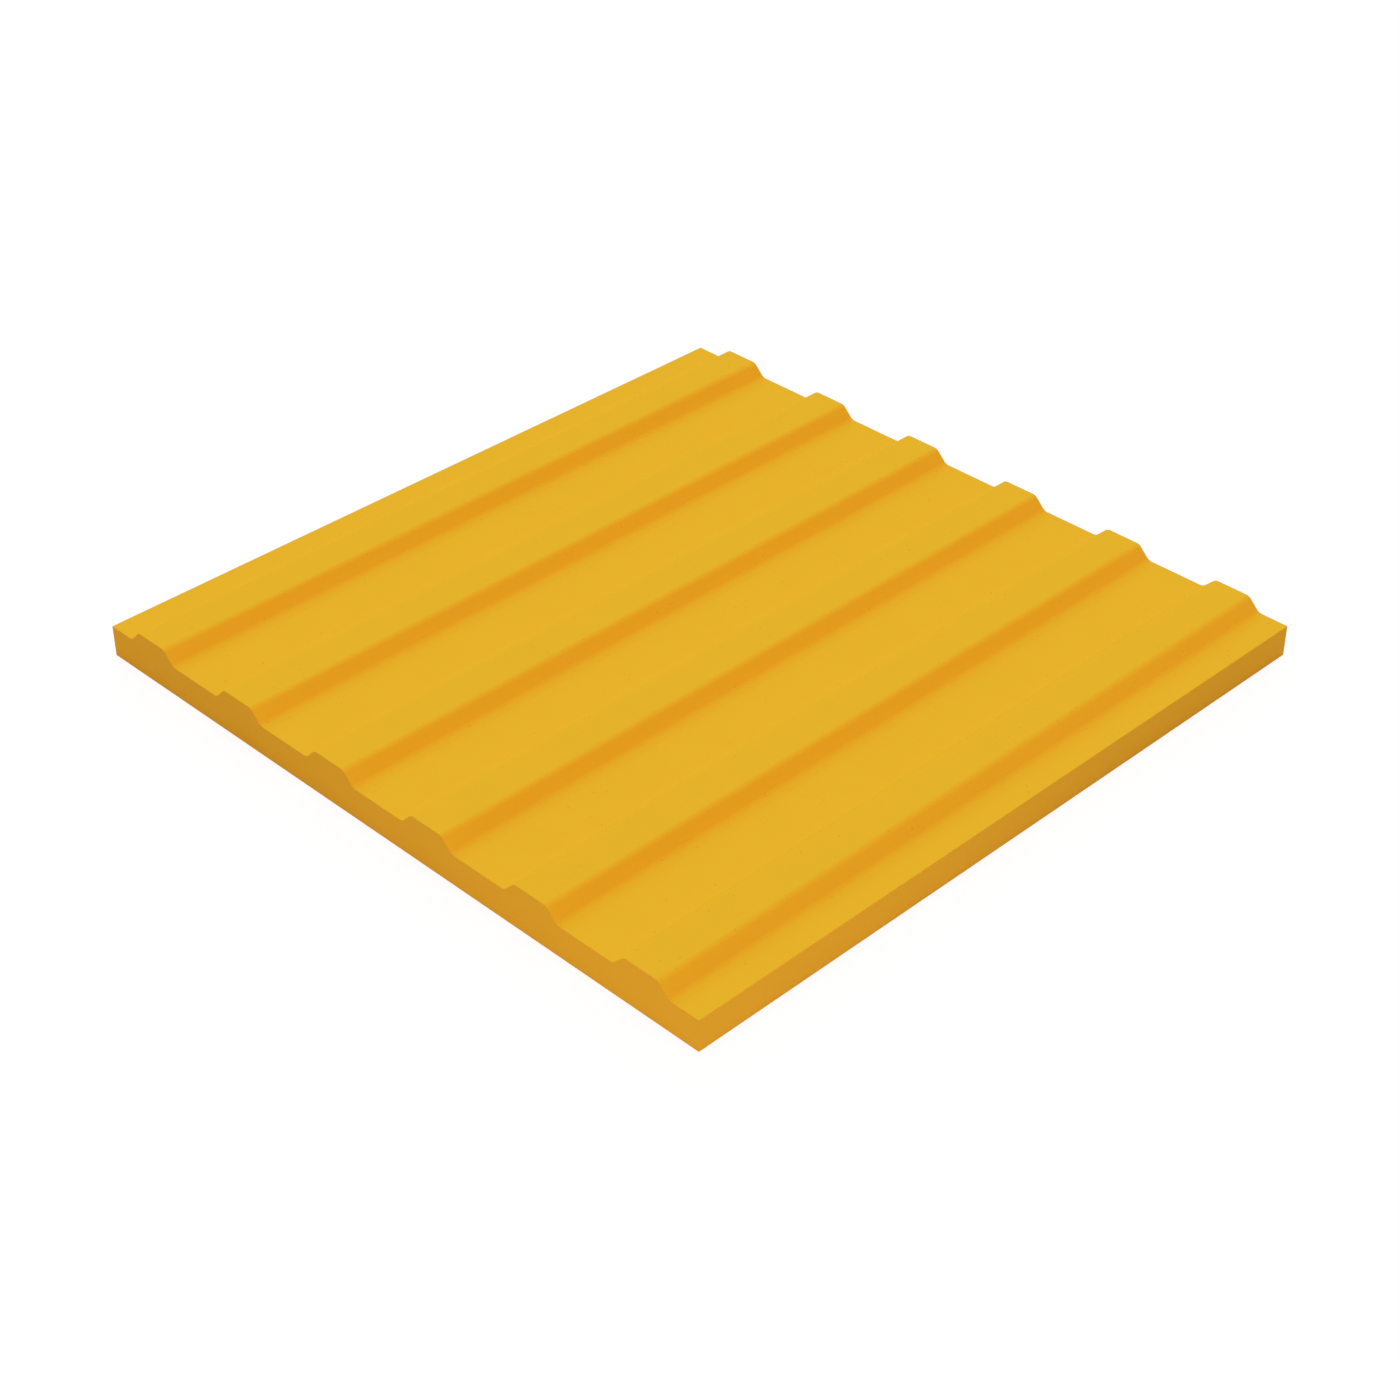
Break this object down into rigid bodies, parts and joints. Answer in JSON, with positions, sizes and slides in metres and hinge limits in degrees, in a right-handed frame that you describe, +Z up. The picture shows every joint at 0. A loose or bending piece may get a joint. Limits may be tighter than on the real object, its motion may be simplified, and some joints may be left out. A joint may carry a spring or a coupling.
{
  "type": "tactile paving slab",
  "caption": "Square cast paving slab with parallel raised ribs across its top, felt through the shoe and with a cane to guide people who can't see the path.",
  "frame": {"origin": "centre of the flat underside", "axes": "+Z up, out of the ribbed face; +Y along the ribs; +X across them"},
  "size_m": [0.2994, 0.3, 0.0175],
  "materials": {
    "yellow_concrete": "matte"
  },
  "bodies": {
    "root": {"tactile_slab": "yellow_concrete"}
  },
  "joints": []
}
